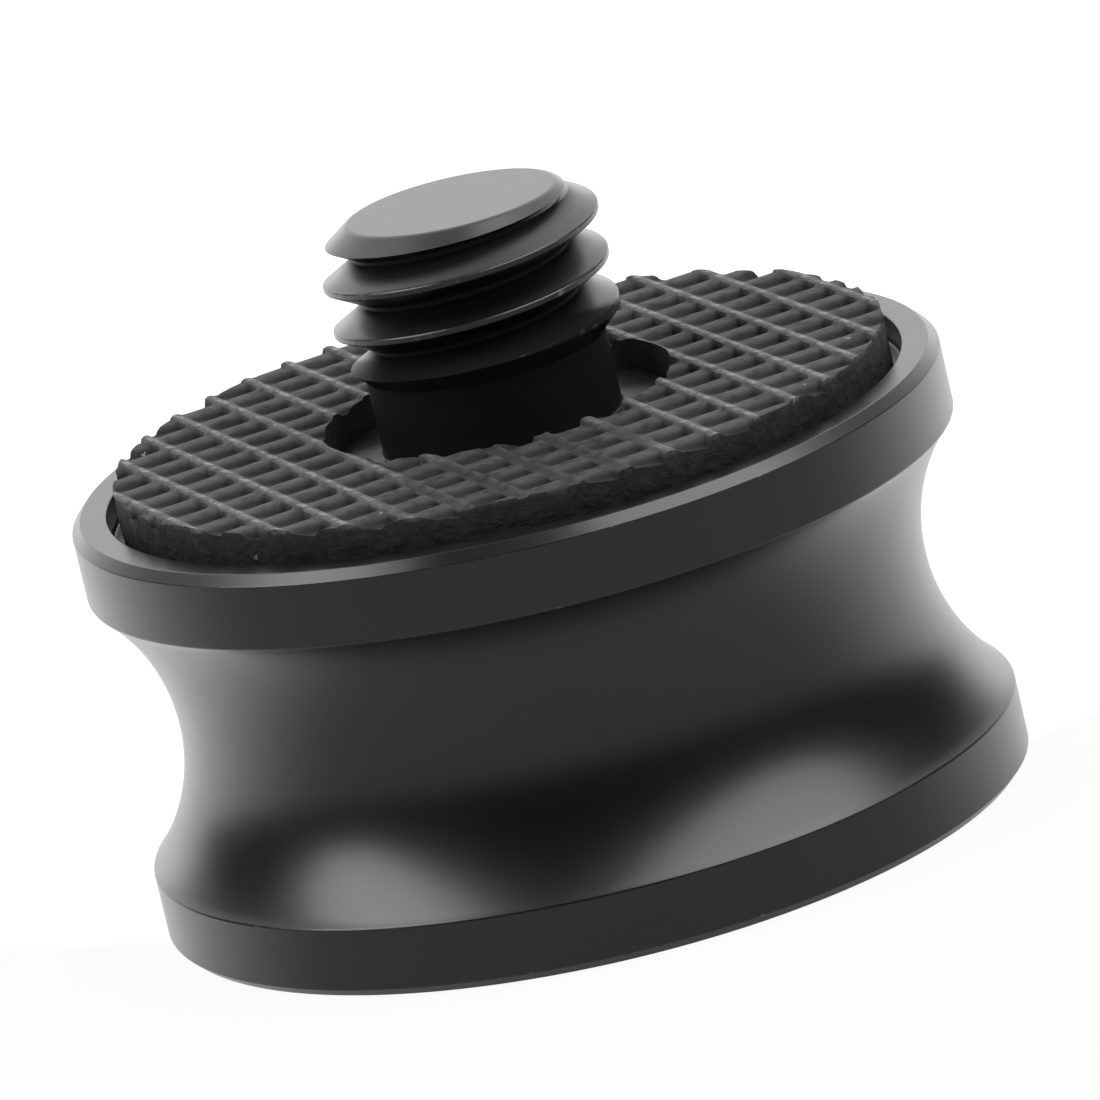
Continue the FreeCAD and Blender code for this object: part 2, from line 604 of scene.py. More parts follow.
@dataclass(frozen=True)
class BlackRubber:
    """Matt moulded rubber, scuffed pale along the tops of its ridges, with painted shade towards the bottom
    of its cells, painted highlights along its rails and painted light on the wall of its hole.
    """

    name: str = "black_rubber"
    deep: Colour = (0.034, 0.034, 0.035, 1.0)
    scuffed_lit_top: Colour = (0.118, 0.118, 0.119, 1.0)
    lit_rubbed_rail: Colour = (0.30, 0.30, 0.30, 1.0)
    cut_face: Colour = (0.05, 0.05, 0.051, 1.0)
    lit_hole_wall: Colour = (0.14, 0.14, 0.14, 1.0)
    dust: Colour = (0.30, 0.30, 0.30, 1.0)
    refraction: float = 1.5
    shine: float = 0.12
    roughness: float = 0.62
    roughness_spread: float = 0.16
    grain_scale: float = 7.5
    mottle_scale: float = 1.6
    grain_height: float = 0.030
    scuff_shade_depth: float = 0.28
    scuff_range: Range = (0.2, 0.6)
    rail_reach: Range = (0.19, 0.076)
    rail_lean: float = 0.11
    rail_grain: float = 4.6
    rail_lit_rub: float = 0.22
    lit_rub_range: Range = (0.54, 0.66)
    crossing_reach: Range = (0.40, 0.16)
    crossing_pull: float = 0.16
    spared_core: float = 0.6
    wall_range: Range = (0.5, 0.1)
    rim_band: Range = (-0.5, -0.3)
    hole_band: Range = (0.4, 0.2)
    torn_height: float = 0.16
    torn_scale: float = 2.6
    torn_range: Range = (0.4, 0.7)
    dust_band: Range = (-2.0, -1.0)
    speck_scale: float = 1.6
    speck_size: float = 0.26
    speck_share: float = 0.12

    def material(self, effects: Effects, pad: "RubberPad") -> bpy.types.Material:
        """Builds the material.

        Args:
            effects: the shared shader groups.
            pad: the pad, for its edges, the height of its ridges and the way they run.

        Returns:
            The material.
        """
        surface = Surface.begin(self.name)
        wiring, point = surface.wiring, surface.point
        grain = surface.grain(effects, self)
        sizes = {"Scale": self.speck_scale, "Size": self.speck_size, "Share": self.speck_share}
        specks = wiring.group(effects.specks, {"Point": point} | sizes)["Mask"]
        facing = wiring.add("ShaderNodeTexCoord").outputs["Normal"]
        wall = wiring.ramp(wiring.math("ABSOLUTE", wiring.axes(facing)["Z"]), *self.wall_range)
        rim, hole, dusty = (
            wiring.ramp(surface.radius, *(edge + reach for reach in band))
            for edge, band in (
                (pad.rim_radius, self.rim_band),
                (pad.hole_radius, self.hole_band),
                (pad.rim_radius, self.dust_band),
            )
        )
        torn = wiring.clouds(point, self.torn_scale, detail=5.0, roughness=0.65)
        cut = wiring.product(wall, rim)
        # Painted shade: the pale top colour fades out downwards over most of a cell's depth, so the sheet
        # darkens towards the bottom of its cells; the mottle adds real scuffs.
        scuff_and_depth_shade = wiring.ramp(surface.height, pad.top - self.scuff_shade_depth, pad.top)
        layers = (
            (wiring.product(scuff_and_depth_shade, wiring.ramp(grain["Mottle"], *self.scuff_range)), self.scuffed_lit_top),
            # Painted highlight along one side of each rail's top, brightest at the crossings, partly rubbed
            # wear.
            (wiring.product(scuff_and_depth_shade, self._rail_sheen_and_rub(surface, pad)), self.lit_rubbed_rail),
            (wiring.product(cut, wiring.ramp(torn, *self.torn_range)), self.cut_face),
            # Painted light: the hole's shaded wall is given a paler colour.
            (wiring.product(hole, wall), self.lit_hole_wall),
            (wiring.product(specks, dusty), self.dust),
        )
        colour: object = self.deep
        for share, layer in layers:
            colour = wiring.blend(share, colour, layer)
        fine = wiring.product(grain["Grain"], self.grain_height * MM)
        rough_cut = wiring.product(torn, cut, self.torn_height * MM)
        shader = {
            "Base Color": colour,
            "Roughness": wiring.around(grain["Grain"], self.roughness, self.roughness_spread),
            "IOR": self.refraction,
            "Specular IOR Level": self.shine,
        }
        return surface.end(wiring.math("ADD", fine, rough_cut), shader)

    def _rail_sheen_and_rub(self, surface: Surface, pad: "RubberPad") -> Socket:
        """Marks the pale lines along the rails, most of all at their crossings: a painted highlight beside
        each rail's top, partly rubbed wear.

        Args:
            surface: the material in the making.
            pad: the pad, for its ridges and its torn stretch, which is spared.

        Returns:
            The mark's output, from 0 to 1.
        """
        wiring, point = surface.wiring, surface.point
        rail, rung, _ = pad.directions()
        beside = self._off_line(surface, rail, pad.rail_offset + self.rail_lean, pad.rail_pitch)
        past = self._off_line(surface, rung, pad.rung_offset, pad.rung_pitch)
        crossing = wiring.ramp(past, *self.crossing_reach)
        grain = wiring.clouds(point, self.rail_grain)
        lit_and_rubbed = wiring.ramp(wiring.math("MULTIPLY_ADD", crossing, self.crossing_pull, grain), *self.lit_rub_range)
        away = wiring.vector_math("DISTANCE", point, pad.torn_middle)
        spared = wiring.ramp(away, self.spared_core * pad.torn_reach, pad.torn_reach)
        ridge = wiring.ramp(beside, *self.rail_reach)
        return wiring.product(ridge, wiring.between(lit_and_rubbed, self.rail_lit_rub, 1.0), spared)

    def _off_line(self, surface: Surface, way: Vector, offset: float, pitch: float) -> Socket:
        """Measures how far the surface lies from the nearest of a family of parallel ridges.

        Args:
            surface: the material in the making.
            way: unit vector along the ridges.
            offset: distance of one ridge from the axis.
            pitch: distance from ridge to ridge.

        Returns:
            The distance's output.
        """
        wiring = surface.wiring
        spot = wiring.vector_math("DOT_PRODUCT", surface.point, Vector((-way.y, way.x, 0.0)))
        return wiring.math("PINGPONG", wiring.math("SUBTRACT", spot, offset), 0.5 * pitch)


@dataclass(frozen=True)
class Corner:
    """Corner of a turning profile, with the small radius that breaks it."""

    radius: float
    height: float
    broken: float = 0.0


def rounded(corners: list[Corner], steps: int = 5, longest: float = 0.4, guard: float = 0.25) -> list[Point]:
    """Rounds the corners of a profile.

    Args:
        corners: the profile, from end to end.
        steps: straight steps round each broken corner.
        longest: most that a rounding takes of a side, as a share of it.
        guard: distance of the guard point from a rounding, as a share of the rounding's reach.

    Returns:
        Radius and height of each point, with a guard point on either side of each rounding.
    """
    path = [(corners[0].radius, corners[0].height)]
    for before, corner, after in zip(corners, corners[1:], corners[2:]):
        here = Vector((corner.radius, corner.height))
        back = Vector((before.radius, before.height)) - here
        ahead = Vector((after.radius, after.height)) - here
        if corner.broken == 0.0:
            path.append(tuple(here))
            continue
        half = 0.5 * back.angle(ahead)
        reach = min(corner.broken / math.tan(half), longest * back.length, longest * ahead.length)
        size = reach * math.tan(half)
        centre = here + (back.normalized() + ahead.normalized()).normalized() * (size / math.sin(half))
        first = here + back.normalized() * reach
        last = here + ahead.normalized() * reach
        path.append(tuple(first + back.normalized() * (guard * reach)))
        for step in range(steps + 1):
            spoke = (first - centre).lerp(last - centre, step / steps)
            path.append(tuple(centre + spoke.normalized() * size))
        path.append(tuple(last + ahead.normalized() * (guard * reach)))
    path.append((corners[-1].radius, corners[-1].height))
    return path


@dataclass(frozen=True)
class Thread:
    """Sixty-degree thread cut along a helix."""

    side: ThreadSide
    pitch: float
    crest_radius: float
    root_radius: float
    root_width: float
    start_height: float
    turns: float
    start_angle: float = 0.0
    run_out_turns: float = 0.2
    run_out_rise: float = 0.0
    flank_angle: float = 30.0
    lip_angle: float = 55.0
    lip_depth: float = 0.025
    overshoot: float = 0.1
    lip_overshoot: float = 0.02
    steps_per_turn: int = 128

    def inputs(self) -> dict[str, object]:
        """Works out the named inputs of the thread tree.

        Returns:
            Value of each input, with lengths in metres.
        """
        outward = 1.0 if self.side is ThreadSide.OUTSIDE else -1.0
        slope = math.tan(math.radians(self.flank_angle))
        lip_slope = math.tan(math.radians(self.lip_angle))
        depth = abs(self.crest_radius - self.root_radius)
        groove = depth + self.overshoot
        lip = self.lip_depth + self.lip_overshoot
        lip_width = self.root_width + 2 * slope * (depth - self.lip_depth)
        lengths = {
            "Pitch": self.pitch,
            "Start Height": self.start_height,
            "Groove Radius": self.root_radius + outward * 0.5 * groove,
            "Groove Depth": groove,
            "Root Width": self.root_width,
            "Mouth Width": self.root_width + 2 * slope * groove,
            "Lip Radius": self.crest_radius + outward * (self.lip_overshoot - 0.5 * lip),
            "Lip Depth": lip,
            "Lip Root Width": lip_width,
            "Lip Mouth Width": lip_width + 2 * lip_slope * lip,
            "Run-out Rise": self.run_out_rise,
        }
        values: dict[str, object] = {name: length * MM for name, length in lengths.items()}
        values["Run-out Share"] = self.run_out_turns / self.turns
        values["Start Angle"] = math.radians(self.start_angle)
        values["Turns"] = self.turns
        values["Steps per Turn"] = self.steps_per_turn
        values["Section Turn"] = self.side.value
        return values


def thread_tree(sizes: Iterable[str]) -> bpy.types.NodeTree:
    """Builds the tree that cuts a helical groove, with its lips broken, out of a solid.

    Args:
        sizes: names of the inputs that a thread gives.

    Returns:
        The geometry tree.
    """
    takes = {"Solid": "Geometry"} | dict.fromkeys(sizes, "Float")
    takes |= {"Steps per Turn": "Int", "Material": "Material"}
    wiring, given = new_tree("cut_thread", "GeometryNodeTree", takes, {"Solid": "Geometry"})

    def cutter(radius: str, depth: str, root: str, mouth: str) -> Socket:
        """Sweeps a trapezoid along the helix and returns the closed cutter."""
        helix = wiring.add(
            "GeometryNodeCurveSpiral",
            {
                "Resolution": given["Steps per Turn"],
                "Rotations": given["Turns"],
                "Start Radius": given[radius],
                "End Radius": given[radius],
                "Height": wiring.product(given["Pitch"], given["Turns"]),
                "Reverse": True,
            },
        )
        along = wiring.add("GeometryNodeSplineParameter").outputs["Factor"]
        left = wiring.math("SUBTRACT", 1.0, wiring.math("DIVIDE", along, given["Run-out Share"]))
        shallow = wiring.product(wiring.math("MAXIMUM", left, 0.0), given["Run-out Rise"])
        spot = wiring.axes(wiring.add("GeometryNodeInputPosition").outputs[0])
        away = wiring.vector_math("NORMALIZE", wiring.join(X=spot["X"], Y=spot["Y"]))
        shift = wiring.vector_math("SCALE", away, scale=shallow)
        faded = wiring.add("GeometryNodeSetPosition", {"Geometry": helix.outputs[0], "Offset": shift})
        upright = wiring.add("GeometryNodeSetCurveNormal", {"Curve": faded.outputs[0]}, mode="Z_UP")
        sides = {"Height": given[depth], "Bottom Width": given[root], "Top Width": given[mouth]}
        shape = sides | {"Offset": 0.0}
        section = wiring.add("GeometryNodeCurvePrimitiveQuadrilateral", shape, mode="TRAPEZOID")
        turn = wiring.join(Z=given["Section Turn"])
        turned = wiring.add("GeometryNodeTransform", {"Geometry": section.outputs[0], "Rotation": turn})
        sweep = wiring.add(
            "GeometryNodeCurveToMesh",
            {"Curve": upright.outputs[0], "Profile Curve": turned.outputs[0], "Fill Caps": True},
        )
        lift = wiring.join(Z=given["Start Height"])
        spin = wiring.join(Z=given["Start Angle"])
        start = {"Geometry": sweep.outputs[0], "Translation": lift, "Rotation": spin}
        placed = wiring.add("GeometryNodeTransform", start)
        return wiring.add("GeometryNodeTriangulate", {"Mesh": placed.outputs[0]}).outputs[0]

    groove = cutter("Groove Radius", "Groove Depth", "Root Width", "Mouth Width")
    lip = cutter("Lip Radius", "Lip Depth", "Lip Root Width", "Lip Mouth Width")
    solid = given["Solid"]
    for tool in (groove, lip):
        feeds = {"Mesh 1": solid, "Mesh 2": tool}
        cut = wiring.add("GeometryNodeMeshBoolean", feeds, operation="DIFFERENCE", solver="EXACT")
        solid = cut.outputs["Mesh"]
    return end_in_mesh(wiring, solid, given["Material"])


@dataclass
class TurnedBody:
    """Spool, stud and socket, turned from one bar."""

    flange_radius: float
    tip_height: float
    stud_radius: float
    socket_radius: float
    pocket_floor: float
    pad_hole_radius: float = PAD_HOLE_RADIUS
    lower_flange: float = 2.4
    cove: float = 9.75
    upper_flange: float = 2.5
    waist_radius: float = 12.8
    shoulder_width: float = 0.18
    shoulder_height: float = 0.16
    top_chamfer: float = 0.33
    bottom_chamfer: float = 0.3
    pocket_radius: float = 13.55
    boss_gap: float = 0.15
    neck_radius: float = 4.08
    thread_length: float = 4.55
    tip_chamfer_width: float = 1.18
    tip_chamfer_height: float = 0.88
    socket_depth: float = 9.0
    socket_mouth: float = 0.75
    drill_point: float = 118.0
    edge_break: float = 0.06
    soft_break: float = 0.12
    tip_break: float = 0.3
    facets: int = 256
    cove_steps: int = 56
    stud_pitch: float = 25.4 / 16
    stud_crest_height: float = 19.81
    stud_thread_depth: float = 1.1
    stud_turns: float = 4.0
    stud_run_in: float = 1.5
    run_out_angle: float = -50.0
    socket_pitch: float = 25.4 / 20
    socket_thread_radius: float = 6.35 / 2
    socket_thread_length: float = 7.8
    socket_run_in: float = 1.5
    node: str = "adapter_body"
    slot: str = "black_anodised_aluminium"

    @classmethod
    def from_frame(cls, record: dict) -> "TurnedBody":
        """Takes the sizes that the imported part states.

        Args:
            record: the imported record.

        Returns:
            The body.
        """
        mounts = {mount["name"]: mount["dims"] for mount in record["mounts"]}
        low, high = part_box("adapter_body")
        pad_low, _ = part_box("rubber_pad")
        return cls(
            flange_radius=min(high.x, high.y, -low.x, -low.y) * PER_MM,
            tip_height=high.z * PER_MM,
            stud_radius=mounts["stud"]["r_mm"],
            socket_radius=mounts["socket"]["r_mm"],
            pocket_floor=pad_low.z * PER_MM,
        )

    @property
    def top(self) -> float:
        """Height of the upper flange's face."""
        return self.lower_flange + self.cove + self.upper_flange

    @property
    def thread_bottom(self) -> float:
        """Height of the stud thread's lower end."""
        return self.tip_height - self.thread_length

    def cove_corners(self) -> list[Corner]:
        """Places points on the hollow between the flanges.

        Returns:
            The arc's inner points, from the lower shoulder to the upper one.
        """
        half = 0.5 * self.cove - self.shoulder_height
        sink = self.flange_radius - self.shoulder_width - self.waist_radius
        bow = (half * half + sink * sink) / (2 * sink)
        sweep = math.asin(half / bow)
        middle = self.lower_flange + 0.5 * self.cove
        corners = []
        for step in range(1, self.cove_steps):
            angle = sweep * (2 * step / self.cove_steps - 1)
            radius = self.waist_radius + bow * (1 - math.cos(angle))
            corners.append(Corner(radius, middle + bow * math.sin(angle)))
        return corners

    def profile(self) -> list[Point]:
        """Draws the half section, from the socket's drill point round to the stud's tip.

        Returns:
            Radius and height of each point.
        """
        drill = self.socket_radius / math.tan(math.radians(0.5 * self.drill_point))
        shoulder_radius = self.flange_radius - self.shoulder_width
        cove_top = self.lower_flange + self.cove
        boss_radius = self.pad_hole_radius - self.boss_gap
        relief_foot = self.thread_bottom - self.stud_radius + self.neck_radius
        edge, soft = self.edge_break, self.soft_break
        lower = [
            Corner(0.0, self.socket_depth + drill),
            Corner(self.socket_radius, self.socket_depth),
            Corner(self.socket_radius, self.socket_mouth),
            Corner(self.socket_radius + self.socket_mouth, 0.0, edge),
            Corner(self.flange_radius - self.bottom_chamfer, 0.0, edge),
            Corner(self.flange_radius, self.bottom_chamfer, edge),
            Corner(self.flange_radius, self.lower_flange, soft),
            Corner(shoulder_radius, self.lower_flange + self.shoulder_height),
        ]
        upper = [
            Corner(shoulder_radius, cove_top - self.shoulder_height),
            Corner(self.flange_radius, cove_top, soft),
            Corner(self.flange_radius, self.top - self.top_chamfer, edge),
            Corner(self.flange_radius - self.top_chamfer, self.top, edge),
            Corner(self.pocket_radius, self.top, edge),
            Corner(self.pocket_radius, self.pocket_floor, soft),
            Corner(boss_radius, self.pocket_floor, soft),
            Corner(boss_radius, self.top, edge),
            Corner(self.neck_radius, self.top, edge),
            Corner(self.neck_radius, relief_foot, edge),
            Corner(self.stud_radius, self.thread_bottom),
            Corner(self.stud_radius, self.tip_height - self.tip_chamfer_height),
            Corner(self.stud_radius - self.tip_chamfer_width, self.tip_height, self.tip_break),
            Corner(0.0, self.tip_height),
        ]
        return rounded(lower + self.cove_corners() + upper)

    def worn_edges(self) -> list[Point]:
        """Lists the turned edges that lose their colour first, by radius and height."""
        return [
            (self.flange_radius, self.bottom_chamfer),
            (self.flange_radius, self.lower_flange),
            (self.flange_radius, self.lower_flange + self.cove),
            (self.flange_radius, self.top - self.top_chamfer),
            (self.flange_radius - self.top_chamfer, self.top),
            (self.pocket_radius, self.top),
            (self.stud_radius - self.tip_chamfer_width, self.tip_height),
        ]

    def threads(self) -> list[Thread]:
        """Describes the stud's and the socket's threads.

        Returns:
            The two threads.
        """
        start = self.run_out_angle / 360.0 - self.stud_run_in
        slope = math.tan(math.radians(Thread.flank_angle))
        stud = Thread(
            side=ThreadSide.OUTSIDE,
            pitch=self.stud_pitch,
            crest_radius=self.stud_radius,
            root_radius=self.stud_radius - self.stud_thread_depth,
            root_width=(1 - THREAD_FLAT) * self.stud_pitch - 2 * self.stud_thread_depth * slope,
            start_height=self.stud_crest_height + start * self.stud_pitch,
            turns=self.stud_turns,
            start_angle=self.run_out_angle,
            run_out_rise=self.stud_thread_depth,
        )
        lead_in = self.socket_run_in * self.socket_pitch
        socket = Thread(
            side=ThreadSide.INSIDE,
            pitch=self.socket_pitch,
            crest_radius=self.socket_radius,
            root_radius=self.socket_thread_radius,
            root_width=THREAD_FLAT * self.socket_pitch,
            start_height=-lead_in,
            turns=(self.socket_thread_length + lead_in) / self.socket_pitch,
        )
        return [stud, socket]

    def build(self, material: bpy.types.Material) -> bpy.types.Object:
        """Turns the profile and cuts both threads.

        Args:
            material: the body's finish.

        Returns:
            The finished piece.
        """
        points: list[Place] = []
        rings: list[list[int]] = []
        for radius, height in self.profile():
            count = 1 if radius == 0.0 else self.facets
            rings.append([len(points) + step % count for step in range(self.facets + 1)])
            points += [polar(radius, 2 * math.pi * step / self.facets, height) for step in range(count)]
        faces = []
        for inner, outer in zip(rings, rings[1:]):
            for step in range(self.facets):
                corners = (inner[step], inner[step + 1], outer[step + 1], outer[step])
                faces.append(tuple(dict.fromkeys(corners)))
        piece = new_piece("turned_adapter_body", points, faces)
        sizes = [thread.inputs() for thread in self.threads()]
        tree = thread_tree(sizes[0])
        for values in sizes:
            grow(piece, tree, values | {"Material": material})
        shade(piece, Shading.TURNED)
        return piece

    def dress(self, effects: Effects) -> bpy.types.Material:
        """Makes the body's finish."""
        return BlackAnodising().material(effects, self)


def waffle_tree() -> bpy.types.NodeTree:
    """Builds the tree that repeats one sunk cell into a sheet and cuts the sheet with a ring die.

    Returns:
        The geometry tree.
    """
    numbers = ("Underside", "Weld", "Ripple", "Ripple Scale", "Seed", "Torn Reach", "Torn Core")
    takes = {"Cell": "Geometry", "Columns": "Int", "Rows": "Int"}
    takes |= dict.fromkeys(("Column Step", "Row Step", "Torn Middle"), "Vector")
    takes |= dict.fromkeys(numbers, "Float") | {"Die": "Object", "Material": "Material"}
    wiring, given = new_tree("waffle_sheet", "GeometryNodeTree", takes, {"Pad": "Geometry"})
    position = wiring.add("GeometryNodeInputPosition").outputs[0]
    spot = wiring.axes(position)

    def moved(shape: Socket, feeds: dict) -> Socket:
        """Moves a mesh's points and returns the mesh."""
        return wiring.add("GeometryNodeSetPosition", {"Geometry": shape} | feeds).outputs[0]

    def welded(shape: Socket) -> Socket:
        """Merges points that lie together and returns the mesh."""
        feeds = {"Geometry": shape, "Distance": given["Weld"]}
        return wiring.add("GeometryNodeMergeByDistance", feeds).outputs[0]

    grid = wiring.add(
        "GeometryNodeMeshGrid",
        {
            "Vertices X": given["Columns"],
            "Vertices Y": given["Rows"],
            "Size X": wiring.math("SUBTRACT", given["Columns"], 1.0),
            "Size Y": wiring.math("SUBTRACT", given["Rows"], 1.0),
        },
    )
    steps = []
    for axis, step in (("X", "Column Step"), ("Y", "Row Step")):
        number = wiring.math("SUBTRACT", spot[axis], 0.5)
        steps.append(wiring.vector_math("SCALE", given[step], scale=number))
    lattice = moved(grid.outputs[0], {"Position": wiring.vector_math("ADD", *steps)})
    cells = wiring.add("GeometryNodeInstanceOnPoints", {"Points": lattice, "Instance": given["Cell"]})
    real = wiring.add("GeometryNodeRealizeInstances", {"Geometry": cells.outputs[0]})
    waves = wiring.add(
        "ShaderNodeTexNoise",
        {"W": given["Seed"], "Scale": given["Ripple Scale"]},
        noise_dimensions="4D",
    )
    centred = wiring.vector_math("SUBTRACT", waves.outputs["Color"], (0.5, 0.5, 0.5))
    shift = wiring.vector_math("SCALE", centred, scale=given["Ripple"])
    drop = wiring.add("GeometryNodeInputNamedAttribute", {"Name": TORN_DROP}, data_type="FLOAT")
    away = wiring.vector_math("DISTANCE", position, given["Torn Middle"])
    torn = wiring.ramp(away, given["Torn Reach"], wiring.product(given["Torn Reach"], given["Torn Core"]))
    fall = wiring.product(drop.outputs["Attribute"], wiring.product(torn, -MM))
    offset = wiring.vector_math("ADD", shift, wiring.join(Z=fall))
    rippled = moved(welded(real.outputs[0]), {"Offset": offset})
    extrusion = {"Mesh": rippled, "Offset": (0.0, 0.0, -1.0), "Offset Scale": MM, "Individual": False}
    lower = wiring.add("GeometryNodeExtrudeMesh", extrusion).outputs
    level = wiring.join(X=spot["X"], Y=spot["Y"], Z=given["Underside"])
    flat = moved(lower["Mesh"], {"Selection": lower["Top"], "Position": level})
    under = wiring.add("GeometryNodeFlipFaces", {"Mesh": flat}).outputs[0]
    both = wiring.add("GeometryNodeJoinGeometry", {"Geometry": [rippled, under]}).outputs[0]
    die = wiring.add("GeometryNodeObjectInfo", {"Object": given["Die"]}).outputs["Geometry"]
    cut = wiring.add("GeometryNodeMeshBoolean", operation="INTERSECT", solver="MANIFOLD")
    wiring.feed(cut.inputs["Mesh 2"], [welded(both), die])
    return end_in_mesh(wiring, cut.outputs["Mesh"], given["Material"])


@dataclass
class RubberPad:
    """Ring of waffle rubber, cut with a die from a moulded sheet."""

    rim_radius: float
    floor: float
    top: float
    hole_radius: float = PAD_HOLE_RADIUS
    rail_pitch: float = 1.68
    rail_angle: float = -70.4
    rail_offset: float = -0.95
    rung_pitch: float = 1.745
    rung_angle: float = 21.5
    rung_offset: float = 0.15
    rail_half: float = 0.15
    rung_half: float = 0.45
    rung_sag: float = 0.09
    cell_depth: float = 0.38
    torn_middle: Place = (0.2, -9.8, 15.7)
    torn_reach: float = 5.8
    torn_core: float = 0.55
    torn_share: float = 0.45
    ripple: float = 0.05
    ripple_scale: float = 450.0
    seed: float = 4.0
    weld: float = 0.001
    rim_rag: float = 0.16
    hole_rag: float = 0.06
    rag_scale: float = 1.1
    rag_squash: float = 0.6
    rag_falloff: float = 0.9
    rag_step: float = 2.0
    rag_octaves: int = 3
    die_facets: int = 300
    die_levels: int = 9
    overcut: float = 0.2
    node: str = "rubber_pad"
    slot: str = "black_rubber"

    @classmethod
    def from_frame(cls) -> "RubberPad":
        """Takes the pad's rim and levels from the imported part."""
        low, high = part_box("rubber_pad")
        return cls(rim_radius=high.x * PER_MM, floor=low.z * PER_MM, top=high.z * PER_MM)

    def directions(self) -> tuple[Vector, Vector, float]:
        """Works out how the ridges run.

        Returns:
            Unit vectors along the rails and along the rungs, and the sine of the angle between them.
        """
        angles = (math.radians(self.rail_angle), math.radians(self.rung_angle))
        rail, rung = (Vector(polar(1.0, angle, 0.0)) for angle in angles)
        return rail, rung, rail.cross(rung).z

    def on_sheet(self, across: float, along: float, depth: float) -> Vector:
        """Finds a point of the sheet.

        Args:
            across: distance from the rails' zero line.
            along: distance from the rungs' zero line.
            depth: distance below the ridges' tops.

        Returns:
            The point in the part's frame, in millimetres.
        """
        rail, rung, skew = self.directions()
        return rung * (across / skew) - rail * (along / skew) + Vector((0.0, 0.0, self.top - depth))

    def rail_section(self) -> list[Point]:
        """Draws the sheet across one cell, which slopes down from one rail to the steep wall of the next.

        Returns:
            Place and depth below the rails' tops, for each line.
        """
        half, floor, pitch = self.rail_half, self.cell_depth, self.rail_pitch
        slope = [
            (0.0, 0.0),
            (0.9 * half, 0.05 * floor),
            (1.8 * half, 0.2 * floor),
            (2.9 * half, 0.56 * floor),
            (0.5 * pitch, 0.8 * floor),
        ]
        wall = [(1.6 * half, floor), (1.3 * half, 0.5 * floor), (0.9 * half, 0.1 * floor), (0.0, 0.0)]
        return slope + [(pitch - place, depth) for place, depth in wall]

    def rung_section(self) -> list[Point]:
        """Draws the sheet along one cell, from rung to rung.

        Returns:
            Place and depth below the rails' tops, for each line.
        """
        half, sag, floor, pitch = self.rung_half, self.rung_sag, self.cell_depth, self.rung_pitch
        flank = [
            (0.0, sag),
            (0.65 * half, 1.1 * sag),
            (0.9 * half, sag + 0.15 * floor),
            (1.1 * half, sag + 0.42 * floor),
            (1.25 * half, floor),
        ]
        return flank + [(pitch - place, depth) for place, depth in reversed(flank)]

    def cell(self) -> bpy.types.Object:
        """Builds one sunk cell, from the middle of the ridges on one side to those on the other.

        Returns:
            An open mesh that repeats into the sheet.
        """
        points: list[Vector] = []
        drops: list[float] = []
        faces: list[tuple[int, ...]] = []
        across, along = self.rail_section(), self.rung_section()
        rows = len(along)
        for column, (step, rail_depth) in enumerate(across):
            on_rail = min(step, self.rail_pitch - step) < self.rail_half
            for row, (reach, rung_depth) in enumerate(along):
                depth = min(rail_depth, rung_depth)
                drops.append(max(0.0, self.torn_share * self.cell_depth - depth) if on_rail else 0.0)
                points.append(self.on_sheet(self.rail_offset + step, self.rung_offset + reach, depth))
                if column and row:
                    last = len(points) - 1
                    faces.append((last - rows - 1, last - 1, last, last - rows))
        piece = new_piece("waffle_rubber_pad", points, faces)
        piece.data.attributes.new(TORN_DROP, "FLOAT", "POINT").data.foreach_set("value", drops)
        return piece

    def torn(self, radius: float, angle: float, height: float) -> float:
        """Draws how far the die's wall is torn at a place, mostly from 0 to 1."""
        spot = Vector(polar(radius, angle, self.rag_squash * height)) * self.rag_scale
        return 0.5 * (1 + noise.fractal(spot, self.rag_falloff, self.rag_step, self.rag_octaves))

    def die(self) -> bpy.types.Object:
        """Builds the ring that the die cuts out, with torn-looking walls.

        Returns:
            A closed ring that stands a little out of the sheet.
        """
        points: list[Place] = []
        bottom, top = self.floor, self.top + self.overcut
        rise = (top - bottom) / (self.die_levels - 1)
        walls = ((self.rim_radius, self.rim_rag, -1.0), (self.hole_radius, self.hole_rag, 1.0))
        columns: list[list[list[int]]] = []
        for radius, rag, inward in walls:
            rows = []
            for level in range(self.die_levels):
                height = bottom + level * rise
                rows.append([len(points) + step for step in range(self.die_facets)])
                for step in range(self.die_facets):
                    angle = 2 * math.pi * step / self.die_facets
                    reach = radius + inward * rag * self.torn(radius, angle, height)
                    points.append(polar(reach, angle, height))
            columns.append(rows)
        outer, inner = columns
        loops = outer + inner[::-1] + outer[:1]
        faces = []
        for low, high in zip(loops, loops[1:]):
            for step in range(self.die_facets):
                turn = (step + 1) % self.die_facets
                faces.append((low[step], low[turn], high[turn]))
                faces.append((low[step], high[turn], high[step]))
        return new_piece("ring_die", points, faces)

